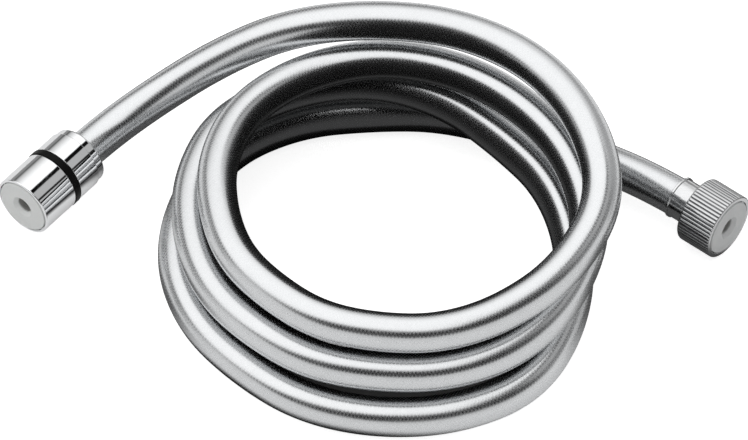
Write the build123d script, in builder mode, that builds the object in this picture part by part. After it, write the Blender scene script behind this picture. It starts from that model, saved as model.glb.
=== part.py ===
"""A coiled smooth shower hose with a swivel connector at one end and a knurled nut at the other.

Millimetres, +Z up, lying on the plane z = 0. The origin is on that plane, midway between the two connectors.
The swivel connector is on the -X side, the knurled one on the +X side, and the coil is between them.

Each connector is drawn in its own side plane: x is the distance from the connector's axis, and y is the
depth behind its mouth, so that every length along a connector is a running total from its mouth.
"""

from build123d import *
import math
import os

# Hose, from the outside in
HOSE_D = 14.0
JACKET_WALL = 0.9
BRAID_WALL = 0.4
HOSE_BORE = 8.0
LAYER_GAP = 0.2

# Coil: how far its turns stand from its centre at every eighth of a turn, clockwise from the back
COIL_CENTRE = (0.7, -28.7)
COIL_TURNS = 3
EIGHTHS = 8
POINTS_PER_TURN = 16
LAYER_PITCH = 14.5
STEP_DOWN_FROM, STEP_DOWN_TO = 50.0, 140.0
TURN_REACH = (
    (76.0, 79.5, 80.5, 63.0, 53.0, 50.0, 54.5, 65.5),
    (70.0, 69.5, 75.5, 71.0, 63.0, 61.0, 64.0, 75.0),
    (72.0, 63.0, 69.5, 76.5, 70.0, 66.0, 70.5, 73.5),
)
LAST_REACH = 69.0

# Tails: the hose's route from the swivel connector up to the coil, and from the coil to the knurled nut
SWIVEL_TAIL = ((-78.5, 38.0, 18.0), (-54.5, 46.0, 32.0), (-29.5, 49.0, 45.0))
KNURLED_TAIL = ((24.5, 41.0, 7.0), (50.5, 32.5, 7.0), (74.5, 21.0, 8.0))
STRAIGHT_OUT = 9.0
ARC_SHARE = 0.45

# Where each connector lies: the centre of its mouth, and the way that it points
SWIVEL_MOUTH, SWIVEL_HEADING = (-123.7, -5.9), -130.0
KNURLED_MOUTH, KNURLED_HEADING = (124.8, -15.8), -38.5

# What both connectors share: a G 1/2 union nut that is free on a flanged nipple
THREAD_D = 20.955
THREAD_PLAY = 0.0225
WATERWAY_D = 6.0
WASHER_PLAY = 0.4
WASHER_T = 1.8
WASHER_PROUD = 0.3
COUNTERSINK = 1.3
WASHER_LAND = 0.5
FLANGE_PLAY = 0.6
FLANGE_T = 1.6
SLIP_RING_T = 1.0
END_PLAY = 0.1
WEB_PLAY = 0.25
RUNNING_PLAY = 0.08
SEATING_PLAY = 0.05
EDGE_ROUND = 0.4

# Barbs that hold the hose
BARB_PITCH = 2.8
BARB_DEPTH = 0.4
BARB_PLAY = 0.02

# Swivel connector
SWIVEL_NUT_WALL = 0.95
SWIVEL_NUT_L = 15.5
SWIVEL_WEB = 2.4
NECK_D = 15.2
BEARING_RING_PROUD = 0.2
BEARING_RING_L = 2.8
SLEEVE_L = 9.6
SLEEVE_WALL = 1.25
SLEEVE_FRONT = 1.2
CAP_STEP = 0.5
CAP_L = 3.5
CAP_WALL = 0.8
CAP_PLUG_L = 2.0
CAP_ROUND = 0.8
CLIP_PLAY = 0.8
CLIP_T = 0.8
CLIP_GROOVE_DEPTH = 0.7
CLIP_SLOT = 2.0
CLIP_SHOULDER = 0.4
SOCKET_D = 10.3
SOCKET_FLOOR = 3.4
SOCKET_END_PLAY = 0.8
O_RING_T = 1.4
O_RING_SETBACK = 2.6
O_RING_SPACING = 4.0
COLLAR_T = 1.2
SWIVEL_BARBS = 3
SWIVEL_CRIMP_WALL = 0.5
SWIVEL_CRIMP_END_PLAY = 0.3

# Knurled connector
KNURLED_NUT_WALL = 1.65
KNURLED_NUT_L = 14.0
KNURLED_WEB = 2.2
KNURLS = 64
KNURL_DEPTH = 0.42
KNURLED_REAR_ROUND = 1.0
FERRULE_WALL = 0.35
FERRULE_SHOWN = 8.5
FERRULE_LIP = 0.8
FERRULE_BEAD_PROUD = 0.45
FERRULE_BEAD_L = 1.0
FERRULE_BEAD_ROUND = 0.3
STOP_NECK_L = 2.9
GROOVE_D = 9.2
GROOVE_COLLAR_PROUD = 0.7
GROOVE_COLLAR_T = 0.6
KNURLED_BARBS = 5

# Radii that follow from the sizes above
HOSE_R = HOSE_D / 2
JACKET_BORE_R = HOSE_R - JACKET_WALL
BRAID_R = JACKET_BORE_R - LAYER_GAP
BRAID_BORE_R = BRAID_R - BRAID_WALL
LINER_R = BRAID_BORE_R - LAYER_GAP
LINER_BORE_R = HOSE_BORE / 2
NUT_BORE_R = THREAD_D / 2 + THREAD_PLAY
WASHER_R = NUT_BORE_R - WASHER_PLAY
FLANGE_R = NUT_BORE_R - FLANGE_PLAY
SLIP_RING_R = NUT_BORE_R - WEB_PLAY
WATERWAY_R = WATERWAY_D / 2
BARB_R = LINER_BORE_R - BARB_PLAY
CRIMP_BORE_R = HOSE_R + SEATING_PLAY
SWIVEL_R = NUT_BORE_R + SWIVEL_NUT_WALL
BEARING_RING_R = SWIVEL_R + BEARING_RING_PROUD
CAP_R = SWIVEL_R - CAP_STEP
NECK_R = NECK_D / 2
SWIVEL_WEB_R = NECK_R + WEB_PLAY
CLIP_GROOVE_R = NECK_R - CLIP_GROOVE_DEPTH
SLEEVE_BORE_R = SWIVEL_R - SLEEVE_WALL
CLIP_R = SLEEVE_BORE_R - CLIP_PLAY
PRESSED_R = SLEEVE_BORE_R - SEATING_PLAY
SOCKET_R = SOCKET_D / 2
JOURNAL_R = SOCKET_R - RUNNING_PLAY
SWIVEL_CRIMP_R = CRIMP_BORE_R + SWIVEL_CRIMP_WALL
KNURLED_R = NUT_BORE_R + KNURLED_NUT_WALL
FERRULE_R = CRIMP_BORE_R + FERRULE_WALL
FERRULE_BEAD_R = FERRULE_R + FERRULE_BEAD_PROUD
KNURLED_WEB_R = FERRULE_R + WEB_PLAY
GROOVE_R = GROOVE_D / 2

# Stations along both connectors, counted back from the mouth
WASHER_REAR = WASHER_T - WASHER_PROUD
FLANGE_REAR = WASHER_REAR + FLANGE_T

# Stations along the swivel connector
SWIVEL_WEB_FRONT = SWIVEL_NUT_L - SWIVEL_WEB
SWIVEL_SLIP_REAR = SWIVEL_WEB_FRONT - END_PLAY
SWIVEL_TRAVEL = SWIVEL_SLIP_REAR - SLIP_RING_T - FLANGE_REAR - END_PLAY
BEARING_FRONT = SWIVEL_NUT_L + END_PLAY
SLEEVE_START = BEARING_FRONT + BEARING_RING_L
SLEEVE_REAR = SLEEVE_START + SLEEVE_L
CAP_REAR = SLEEVE_REAR + CAP_L
CLIP_FRONT = SLEEVE_START + SLEEVE_FRONT + END_PLAY
CLIP_REAR = CLIP_FRONT + CLIP_T
SPIGOT_REAR = CLIP_REAR + CLIP_SHOULDER
SOCKET_FRONT = FLANGE_REAR + SOCKET_FLOOR
JOURNAL_FRONT = SOCKET_FRONT + SOCKET_END_PLAY
O_RING_STATIONS = (JOURNAL_FRONT + O_RING_SETBACK, JOURNAL_FRONT + O_RING_SETBACK + O_RING_SPACING)
COLLAR_FRONT = SPIGOT_REAR + END_PLAY
SWIVEL_HOSE_FRONT = COLLAR_FRONT + COLLAR_T
SWIVEL_CRIMP_REAR = CAP_REAR - CAP_WALL - SWIVEL_CRIMP_END_PLAY

# Stations along the knurled connector
KNURLED_WEB_FRONT = KNURLED_NUT_L - KNURLED_WEB
KNURLED_SLIP_REAR = KNURLED_WEB_FRONT - END_PLAY
KNURLED_TRAVEL = KNURLED_SLIP_REAR - SLIP_RING_T - FLANGE_REAR - END_PLAY
LIP_FRONT = FLANGE_REAR + STOP_NECK_L
LIP_REAR = LIP_FRONT + FERRULE_LIP
KNURLED_HOSE_FRONT = LIP_REAR + GROOVE_COLLAR_T
FERRULE_REAR = KNURLED_NUT_L + FERRULE_SHOWN
KNURLED_BACK_TRAVEL = FERRULE_SHOWN - FERRULE_BEAD_L - END_PLAY

# Each connector lies on its widest ring
SWIVEL_HEIGHT = BEARING_RING_R
KNURLED_HEIGHT = KNURLED_R


def way_back(heading):
    """The direction from a connector's mouth towards its hose."""
    angle = math.radians(heading)
    return Vector(-math.cos(angle), -math.sin(angle), 0)


def side_plane(mouth, height, heading):
    """A connector's side plane: x outwards from its axis, y back from its mouth."""
    return Plane((*mouth, height), x_dir=(0, 0, 1), z_dir=Vector(0, 0, 1).cross(way_back(heading)))


SWIVEL_SIDE = side_plane(SWIVEL_MOUTH, SWIVEL_HEIGHT, SWIVEL_HEADING)
SWIVEL_AXIS = Axis(SWIVEL_SIDE.origin, SWIVEL_SIDE.y_dir)
KNURLED_SIDE = side_plane(KNURLED_MOUTH, KNURLED_HEIGHT, KNURLED_HEADING)
KNURLED_AXIS = Axis(KNURLED_SIDE.origin, KNURLED_SIDE.y_dir)
KNURLED_FACE = Plane(KNURLED_SIDE.origin, z_dir=KNURLED_SIDE.y_dir)


def ring_section(inner_r, outer_r, front, rear, mode=Mode.ADD):
    """Adds the half section of a plain ring to the sketch that is open."""
    with Locations(((inner_r + outer_r) / 2, (front + rear) / 2)):
        Rectangle(outer_r - inner_r, rear - front, mode=mode)


def barb_section(front, barbs):
    """Adds the half section of a barbed hose tail, whose teeth point away from its free end."""
    root_r = BARB_R - BARB_DEPTH
    teeth = [(WATERWAY_R, front)]
    for barb in range(barbs):
        start = front + barb * BARB_PITCH
        teeth += [(BARB_R, start), (root_r, start + BARB_PITCH)]
    teeth.append((WATERWAY_R, front + barbs * BARB_PITCH))
    Polygon(*teeth, align=None)


def washer(side, axis, name):
    """A rubber washer that fills a nut's mouth, with a countersunk hole."""
    with BuildPart() as disc:
        with BuildSketch(side) as section:
            Polygon(
                (WATERWAY_R + COUNTERSINK, -WASHER_PROUD),
                (WASHER_R, -WASHER_PROUD),
                (WASHER_R, WASHER_REAR),
                (WATERWAY_R, WASHER_REAR),
                (WATERWAY_R, WASHER_REAR - WASHER_LAND),
                align=None,
            )
            fillet(section.vertices().group_by(Axis.X)[-1], EDGE_ROUND)
        revolve(axis=axis)
    return save(disc, name)


def slip_ring(side, axis, bore_r, rear, name):
    """A thin nylon ring that lies between a nut's web and the nipple's flange."""
    with BuildPart() as ring:
        with BuildSketch(side):
            ring_section(bore_r, SLIP_RING_R, rear - SLIP_RING_T, rear)
        revolve(axis=axis)
    return save(ring, name)


def save(builder, name):
    """Labels a finished piece and writes it to its own file."""
    builder.part.label = name
    export_step(builder.part, f"parts/{name}.step")
    return builder.part


def on_axis(side, depth):
    """The point on a connector's axis at a depth behind its mouth."""
    return side.origin + side.y_dir * depth


def coil_route():
    """The corners of the coil's turns, from the back of the top turn down to the back of the bottom one."""
    reaches = [reach for turn in TURN_REACH for reach in turn] + [LAST_REACH]
    step = 2 * math.pi / POINTS_PER_TURN
    corner_outset = 4 / (1 + 3 * math.cos(step / 2))
    corners = []
    for index in range(COIL_TURNS * POINTS_PER_TURN + 1):
        turn, along = divmod(index, POINTS_PER_TURN)
        eighth = index * EIGHTHS / POINTS_PER_TURN
        lower = math.floor(eighth)
        upper = math.ceil(eighth)
        reach = corner_outset * (reaches[lower] + reaches[upper]) / 2
        angle = index * step
        stepped = (360 * along / POINTS_PER_TURN - STEP_DOWN_FROM) / (STEP_DOWN_TO - STEP_DOWN_FROM)
        eased = (1 - math.cos(math.pi * min(1, max(0, stepped)))) / 2
        height = HOSE_R + LAYER_PITCH * (COIL_TURNS - turn - eased)
        corners.append(
            Vector(
                COIL_CENTRE[0] + reach * math.sin(angle),
                COIL_CENTRE[1] + reach * math.cos(angle),
                height,
            )
        )
    return corners


def corner_radii(route):
    """The radius of the arc at each inner corner of a route: as large as its two runs allow."""
    radii = []
    for before, corner, after in zip(route, route[1:], route[2:]):
        turn = (corner - before).get_angle(after - corner)
        shorter = min((corner - before).length, (after - corner).length)
        radii.append(ARC_SHARE * shorter / math.tan(math.radians(turn / 2)))
    return radii


SWIVEL_ROUTE = [
    on_axis(SWIVEL_SIDE, SWIVEL_HOSE_FRONT),
    on_axis(SWIVEL_SIDE, CAP_REAR + STRAIGHT_OUT),
    *(Vector(*point) for point in SWIVEL_TAIL),
]
COIL_ROUTE = coil_route()
KNURLED_ROUTE = [
    *(Vector(*point) for point in KNURLED_TAIL),
    on_axis(KNURLED_SIDE, FERRULE_REAR + STRAIGHT_OUT),
    on_axis(KNURLED_SIDE, KNURLED_HOSE_FRONT),
]
ROUTE = SWIVEL_ROUTE + COIL_ROUTE + KNURLED_ROUTE
RADII = corner_radii(ROUTE)
COIL_FIRST = len(SWIVEL_ROUTE)
COIL_LAST = COIL_FIRST + len(COIL_ROUTE) - 1
COIL_ENTRY = (ROUTE[COIL_FIRST - 1] + ROUTE[COIL_FIRST]) / 2
COIL_EXIT = (ROUTE[COIL_LAST] + ROUTE[COIL_LAST + 1]) / 2


def hose_layer(points, radii, outer_r, bore_r, name):
    """One layer of the hose: a tube along straight runs that tangent arcs join."""
    with BuildPart() as layer:
        with BuildLine() as route:
            FilletPolyline(*points, radius=radii)
        with BuildSketch(Plane(route.line @ 0, z_dir=route.line % 0)):
            Circle(outer_r)
            Circle(bore_r, mode=Mode.SUBTRACT)
        sweep()
    length = route.wire().length
    share = layer.part.volume / (math.pi * (outer_r**2 - bore_r**2) * length)
    print(f"{name}: length {length:.1f}, volume {share:.5f} of section times length")
    return save(layer, name)


os.makedirs("parts", exist_ok=True)

# ---------------------------------------------------------------- the hose

print("tail radii:", [round(radius) for radius in RADII[: COIL_FIRST - 1]], [round(r) for r in RADII[COIL_LAST:]])
print("coil radii:", round(min(RADII[COIL_FIRST - 1 : COIL_LAST])), "to", round(max(RADII[COIL_FIRST - 1 : COIL_LAST])))

hose_jacket_swivel_tail = hose_layer(
    ROUTE[:COIL_FIRST] + [COIL_ENTRY],
    RADII[: COIL_FIRST - 1],
    HOSE_R,
    JACKET_BORE_R,
    "hose_jacket_swivel_tail",
)
hose_jacket_coil = hose_layer(
    [COIL_ENTRY] + COIL_ROUTE + [COIL_EXIT],
    RADII[COIL_FIRST - 1 : COIL_LAST],
    HOSE_R,
    JACKET_BORE_R,
    "hose_jacket_coil",
)
hose_jacket_knurled_tail = hose_layer(
    [COIL_EXIT] + ROUTE[COIL_LAST + 1 :],
    RADII[COIL_LAST:],
    HOSE_R,
    JACKET_BORE_R,
    "hose_jacket_knurled_tail",
)
reinforcement_braid = hose_layer(ROUTE, RADII, BRAID_R, BRAID_BORE_R, "reinforcement_braid")
inner_tube = hose_layer(ROUTE, RADII, LINER_R, LINER_BORE_R, "inner_tube")

# ---------------------------------------------------------------- the swivel connector

swivel_washer = washer(SWIVEL_SIDE, SWIVEL_AXIS, "swivel_washer")
swivel_slip_ring = slip_ring(SWIVEL_SIDE, SWIVEL_AXIS, SWIVEL_WEB_R, SWIVEL_SLIP_REAR, "swivel_slip_ring")

# The union nut: a smooth chromed shell with the thread's bore in front and a web behind
with BuildPart() as swivel_nut:
    with BuildSketch(SWIVEL_SIDE) as section:
        ring_section(SWIVEL_WEB_R, SWIVEL_R, 0, SWIVEL_NUT_L)
        fillet(section.vertices().group_by(Axis.X)[-1], EDGE_ROUND)
        ring_section(SWIVEL_WEB_R, NUT_BORE_R, 0, SWIVEL_WEB_FRONT, mode=Mode.SUBTRACT)
    revolve(axis=SWIVEL_AXIS)
save(swivel_nut, "swivel_nut")

# The turning half of the nipple: a flange for the washer, and a neck with a socket in its rear end
with BuildPart() as swivel_spigot:
    with BuildSketch(SWIVEL_SIDE):
        ring_section(WATERWAY_R, FLANGE_R, WASHER_REAR, FLANGE_REAR)
        ring_section(WATERWAY_R, NECK_R, FLANGE_REAR, SPIGOT_REAR)
        ring_section(WATERWAY_R, SOCKET_R, SOCKET_FRONT, SPIGOT_REAR, mode=Mode.SUBTRACT)
        ring_section(CLIP_GROOVE_R, NECK_R, CLIP_FRONT, CLIP_REAR, mode=Mode.SUBTRACT)
    revolve(axis=SWIVEL_AXIS)
save(swivel_spigot, "swivel_spigot")

# A C-shaped clip in the neck's groove, which the sleeve's front wall pulls against
with BuildPart() as retaining_clip:
    with BuildSketch(SWIVEL_SIDE):
        ring_section(
            CLIP_GROOVE_R + SEATING_PLAY,
            CLIP_R,
            CLIP_FRONT + SEATING_PLAY,
            CLIP_REAR - SEATING_PLAY,
        )
    revolve(axis=SWIVEL_AXIS)
    with BuildSketch(SWIVEL_SIDE):
        with Locations((CLIP_R, (CLIP_FRONT + CLIP_REAR) / 2)):
            Rectangle(2 * CLIP_R, CLIP_T)
    extrude(amount=CLIP_SLOT / 2, both=True, mode=Mode.SUBTRACT)
save(retaining_clip, "retaining_clip")

# The fixed half of the nipple: a journal in the socket, a collar, and barbs in the hose
with BuildPart() as swivel_hose_tail:
    with BuildSketch(SWIVEL_SIDE):
        ring_section(WATERWAY_R, JOURNAL_R, JOURNAL_FRONT, COLLAR_FRONT)
        ring_section(WATERWAY_R, PRESSED_R, COLLAR_FRONT, SWIVEL_HOSE_FRONT)
        barb_section(SWIVEL_HOSE_FRONT, SWIVEL_BARBS)
        for station in O_RING_STATIONS:
            half = O_RING_T / 2 + SEATING_PLAY
            ring_section(
                SOCKET_R - O_RING_T - SEATING_PLAY,
                JOURNAL_R,
                station - half,
                station + half,
                mode=Mode.SUBTRACT,
            )
    revolve(axis=SWIVEL_AXIS)
save(swivel_hose_tail, "swivel_hose_tail")

# Two O-rings in the journal's grooves, which seal it in the socket
for name, station in zip(("front_o_ring", "rear_o_ring"), O_RING_STATIONS):
    with BuildPart() as o_ring:
        with BuildSketch(SWIVEL_SIDE):
            with Locations((SOCKET_R - SEATING_PLAY / 2 - O_RING_T / 2, station)):
                Circle(O_RING_T / 2)
        revolve(axis=SWIVEL_AXIS)
    save(o_ring, name)

# The black ring that the nut bears on, slightly proud of the chrome
with BuildPart() as bearing_ring:
    with BuildSketch(SWIVEL_SIDE) as section:
        ring_section(SWIVEL_WEB_R, BEARING_RING_R, BEARING_FRONT, SLEEVE_START)
        fillet(section.vertices().group_by(Axis.X)[-1], EDGE_ROUND)
    revolve(axis=SWIVEL_AXIS)
save(bearing_ring, "bearing_ring")

# The chromed sleeve over the swivel's works, with a front wall in front of the clip
with BuildPart() as rear_sleeve:
    with BuildSketch(SWIVEL_SIDE) as section:
        ring_section(SWIVEL_WEB_R, SWIVEL_R, SLEEVE_START, SLEEVE_REAR)
        fillet(section.vertices().group_by(Axis.X)[-1], EDGE_ROUND / 2)
        ring_section(SWIVEL_WEB_R, SLEEVE_BORE_R, SLEEVE_START + SLEEVE_FRONT, SLEEVE_REAR, mode=Mode.SUBTRACT)
    revolve(axis=SWIVEL_AXIS)
save(rear_sleeve, "rear_sleeve")

# The cap that is pressed into the sleeve behind, and closes round the hose
with BuildPart() as rear_cap:
    with BuildSketch(SWIVEL_SIDE) as section:
        ring_section(CRIMP_BORE_R, CAP_R, SLEEVE_REAR, CAP_REAR)
        fillet(section.vertices().group_by(Axis.X)[-1].sort_by(Axis.Y)[-1], CAP_ROUND)
        ring_section(CRIMP_BORE_R, PRESSED_R, SLEEVE_REAR - CAP_PLUG_L, SLEEVE_REAR)
        ring_section(
            CRIMP_BORE_R,
            SWIVEL_CRIMP_R + SEATING_PLAY,
            SLEEVE_REAR - CAP_PLUG_L,
            CAP_REAR - CAP_WALL,
            mode=Mode.SUBTRACT,
        )
    revolve(axis=SWIVEL_AXIS)
save(rear_cap, "rear_cap")

# The plain sleeve that is crimped over the hose inside the connector
with BuildPart() as swivel_crimp:
    with BuildSketch(SWIVEL_SIDE):
        ring_section(CRIMP_BORE_R, SWIVEL_CRIMP_R, SWIVEL_HOSE_FRONT, SWIVEL_CRIMP_REAR)
    revolve(axis=SWIVEL_AXIS)
save(swivel_crimp, "swivel_crimp")

# ---------------------------------------------------------------- the knurled connector

knurled_washer = washer(KNURLED_SIDE, KNURLED_AXIS, "knurled_washer")
knurled_slip_ring = slip_ring(KNURLED_SIDE, KNURLED_AXIS, KNURLED_WEB_R, KNURLED_SLIP_REAR, "knurled_slip_ring")

# The union nut, with fine straight knurls all round and rounded ends
with BuildPart() as knurled_nut:
    with BuildSketch(KNURLED_FACE):
        Circle(KNURLED_R)
        with PolarLocations(KNURLED_R, KNURLS):
            Rectangle(KNURL_DEPTH * math.sqrt(2), KNURL_DEPTH * math.sqrt(2), rotation=45, mode=Mode.SUBTRACT)
    extrude(amount=KNURLED_NUT_L)
    with BuildSketch(KNURLED_SIDE) as section:
        ring_section(KNURLED_WEB_R, KNURLED_R, 0, KNURLED_NUT_L)
        rims = section.vertices().group_by(Axis.X)[-1].sort_by(Axis.Y)
        fillet(rims[0], EDGE_ROUND)
        fillet(section.vertices().sort_by(Axis.Y)[-2:].sort_by(Axis.X)[-1], KNURLED_REAR_ROUND)
        ring_section(KNURLED_WEB_R, NUT_BORE_R, 0, KNURLED_WEB_FRONT, mode=Mode.SUBTRACT)
    revolve(axis=KNURLED_AXIS, mode=Mode.INTERSECT)
save(knurled_nut, "knurled_nut")

# The nipple: a flange for the washer, a groove for the ferrule's lip, and barbs in the hose
with BuildPart() as knurled_nipple:
    with BuildSketch(KNURLED_SIDE):
        ring_section(WATERWAY_R, FLANGE_R, WASHER_REAR, FLANGE_REAR)
        ring_section(WATERWAY_R, HOSE_R, FLANGE_REAR, LIP_FRONT)
        ring_section(WATERWAY_R, GROOVE_R, LIP_FRONT, LIP_REAR)
        ring_section(WATERWAY_R, GROOVE_R + GROOVE_COLLAR_PROUD, LIP_REAR, KNURLED_HOSE_FRONT)
        barb_section(KNURLED_HOSE_FRONT, KNURLED_BARBS)
    revolve(axis=KNURLED_AXIS)
save(knurled_nipple, "knurled_nipple")

# The chromed ferrule that is crimped over the hose, with its lip in the nipple's groove
with BuildPart() as ferrule:
    with BuildSketch(KNURLED_SIDE) as section:
        ring_section(GROOVE_R + SEATING_PLAY, FERRULE_R, LIP_FRONT, LIP_REAR)
        ring_section(CRIMP_BORE_R, FERRULE_R, LIP_FRONT, FERRULE_REAR)
        ring_section(CRIMP_BORE_R, FERRULE_BEAD_R, FERRULE_REAR - FERRULE_BEAD_L, FERRULE_REAR)
        fillet(section.vertices().group_by(Axis.X)[-1], FERRULE_BEAD_ROUND)
    revolve(axis=KNURLED_AXIS)
save(ferrule, "ferrule")

print(f"swivel nut slides 0 to {SWIVEL_TRAVEL:.2f}, knurled nut {-KNURLED_BACK_TRAVEL:.2f} to {KNURLED_TRAVEL:.2f}")
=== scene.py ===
import math

import bmesh
import bpy
from mathutils import Matrix, Vector


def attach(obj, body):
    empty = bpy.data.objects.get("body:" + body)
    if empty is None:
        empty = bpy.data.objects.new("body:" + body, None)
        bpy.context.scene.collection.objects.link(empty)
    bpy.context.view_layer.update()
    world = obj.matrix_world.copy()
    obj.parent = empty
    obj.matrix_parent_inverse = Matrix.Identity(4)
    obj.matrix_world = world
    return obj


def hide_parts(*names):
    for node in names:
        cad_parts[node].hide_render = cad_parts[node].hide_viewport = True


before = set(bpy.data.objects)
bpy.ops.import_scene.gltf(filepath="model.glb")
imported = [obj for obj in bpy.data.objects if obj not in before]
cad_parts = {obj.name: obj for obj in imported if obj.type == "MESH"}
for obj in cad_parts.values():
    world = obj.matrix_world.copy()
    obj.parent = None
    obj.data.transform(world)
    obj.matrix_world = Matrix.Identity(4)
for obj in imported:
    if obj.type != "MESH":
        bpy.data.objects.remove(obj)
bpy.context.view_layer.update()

# ---------------------------------------------------------------- the camera
# A very long lens looks down on the coil from straight in front, 50.8 degrees above the floor.
# The picture is as wide as the hose from one connector's mouth to the other.
PICTURE_WIDTH = 0.2640
LENS_MM = 800
SENSOR_MM = 36
LOOK_DOWN = math.radians(50.8)
LOOK_AT = Vector((0.00004, -0.0025, 0))


def added(name, data):
    """A new object in the scene."""
    made = bpy.data.objects.new(name, data)
    bpy.context.scene.collection.objects.link(made)
    return made


camera = added("camera", bpy.data.cameras.new("camera"))
camera.data.lens = LENS_MM
camera.data.sensor_width = SENSOR_MM
camera.data.clip_end = 20
towards_camera = Vector((0, -math.cos(LOOK_DOWN), math.sin(LOOK_DOWN)))
camera.location = LOOK_AT + towards_camera * (PICTURE_WIDTH * LENS_MM / SENSOR_MM)
camera.rotation_mode = "QUATERNION"
camera.rotation_quaternion = (-towards_camera).to_track_quat("-Z", "Y")
bpy.context.scene.camera = camera
bpy.context.scene.view_settings.view_transform = "Standard"

# ---------------------------------------------------------------- the hose
# A soft shower hose: a PVC inner tube, a polyester braid over it, and a silver jacket outside.
# The jacket is clear gloss PVC over a metallised film, which shows the braid below as a fine weave.
# It lies as three loose turns on each other, and its two tails leave behind for the connectors.
HOSE_R = 0.007
JACKET_WALL = 0.0009
BRAID_WALL = 0.0004
LAYER_GAP = 0.0002
LINER_BORE_R = 0.004
JACKET_RINGS_APART = 0.0024
JACKET_SIDES = 56

# The turns lie a little more than the hose's own width apart, and step down from one to the next
# on the right. The reaches are the turns' distances from the middle, eight to a turn.
COIL_CENTRE = (0.0007, -0.0287)
COIL_TURNS = 3
POINTS_PER_TURN = 16
LAYER_PITCH = 0.0145
STEP_DOWN_FROM_DEG, STEP_DOWN_TO_DEG = 50, 140
COIL_REACHES = (
    0.0757, 0.0791, 0.0803, 0.063, 0.053, 0.050, 0.0545, 0.0655,
    0.0705, 0.0706, 0.0757, 0.0687, 0.0592, 0.0575, 0.0638, 0.075,
    0.072, 0.063, 0.0695, 0.0756, 0.0680, 0.0642, 0.0700, 0.0735,
    0.069,
)
SWIVEL_TAIL = ((-0.0785, 0.038, 0.018), (-0.0545, 0.0457, 0.032), (-0.0295, 0.0486, 0.045))
KNURLED_TAIL = ((0.0245, 0.041, 0.007), (0.0505, 0.0325, 0.007), (0.0745, 0.021, 0.008))

# Where the hose starts inside each connector, where it comes out of the swivel's cap, and how far
# it runs straight, all behind the connector's mouth
SWIVEL_HOSE_FRONT, SWIVEL_HOSE_EXIT, SWIVEL_STRAIGHT_TO = 0.0222, 0.0315, 0.0405
KNURLED_HOSE_FRONT, KNURLED_STRAIGHT_TO = 0.0074, 0.0315


def connector_place(mouth, height, heading_deg):
    """The place of a connector: x runs back from its mouth along its axis, and z is up."""
    heading = math.radians(heading_deg)
    back = Vector((-math.cos(heading), -math.sin(heading), 0))
    up = Vector((0, 0, 1))
    across = up.cross(back)
    turned = Matrix((back, across, up)).transposed().to_4x4()
    return Matrix.Translation((*mouth, height)) @ turned


KNURLED_HEADING_DEG = -38.5
SWIVEL_PLACE = connector_place((-0.1237, -0.0059), 0.01165, -130)
KNURLED_PLACE = connector_place((0.1248, -0.0158), 0.01215, KNURLED_HEADING_DEG)


def behind_mouth(place, distance):
    """A point on a connector's axis."""
    return place @ Vector((distance, 0, 0))


hose_route = [
    behind_mouth(SWIVEL_PLACE, SWIVEL_HOSE_FRONT),
    behind_mouth(SWIVEL_PLACE, SWIVEL_STRAIGHT_TO),
]
hose_route += [Vector(point) for point in SWIVEL_TAIL]
turn_step = 2 * math.pi / POINTS_PER_TURN
# The curve cuts the corners between its points, so they stand a little farther out than the turns
corner_outset = 4 / (1 + 3 * math.cos(turn_step / 2))
for index in range(COIL_TURNS * POINTS_PER_TURN + 1):
    turn, along = divmod(index, POINTS_PER_TURN)
    reach = corner_outset * (COIL_REACHES[index // 2] + COIL_REACHES[(index + 1) // 2]) / 2
    heading_deg = 360 * along / POINTS_PER_TURN
    stepped = (heading_deg - STEP_DOWN_FROM_DEG) / (STEP_DOWN_TO_DEG - STEP_DOWN_FROM_DEG)
    eased = (1 - math.cos(math.pi * min(1, max(0, stepped)))) / 2
    x = COIL_CENTRE[0] + reach * math.sin(index * turn_step)
    y = COIL_CENTRE[1] + reach * math.cos(index * turn_step)
    z = HOSE_R + LAYER_PITCH * (COIL_TURNS - turn - eased)
    hose_route.append(Vector((x, y, z)))
hose_route += [Vector(point) for point in KNURLED_TAIL]
hose_route += [
    behind_mouth(KNURLED_PLACE, KNURLED_STRAIGHT_TO),
    behind_mouth(KNURLED_PLACE, KNURLED_HOSE_FRONT),
]

route_curve = bpy.data.curves.new("hose_line", "CURVE")
route_curve.dimensions = "3D"
route_curve.resolution_u = 24
route_spline = route_curve.splines.new("NURBS")
route_spline.points.add(len(hose_route) - 1)
for control, point in zip(route_spline.points, hose_route):
    control.co = (*point, 1)
route_spline.order_u = 3
route_spline.use_endpoint_u = True
route_holder = added("hose_line", route_curve)
bpy.context.view_layer.update()
line_mesh = bpy.data.meshes.new_from_object(route_holder)
bpy.data.objects.remove(route_holder)


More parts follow.
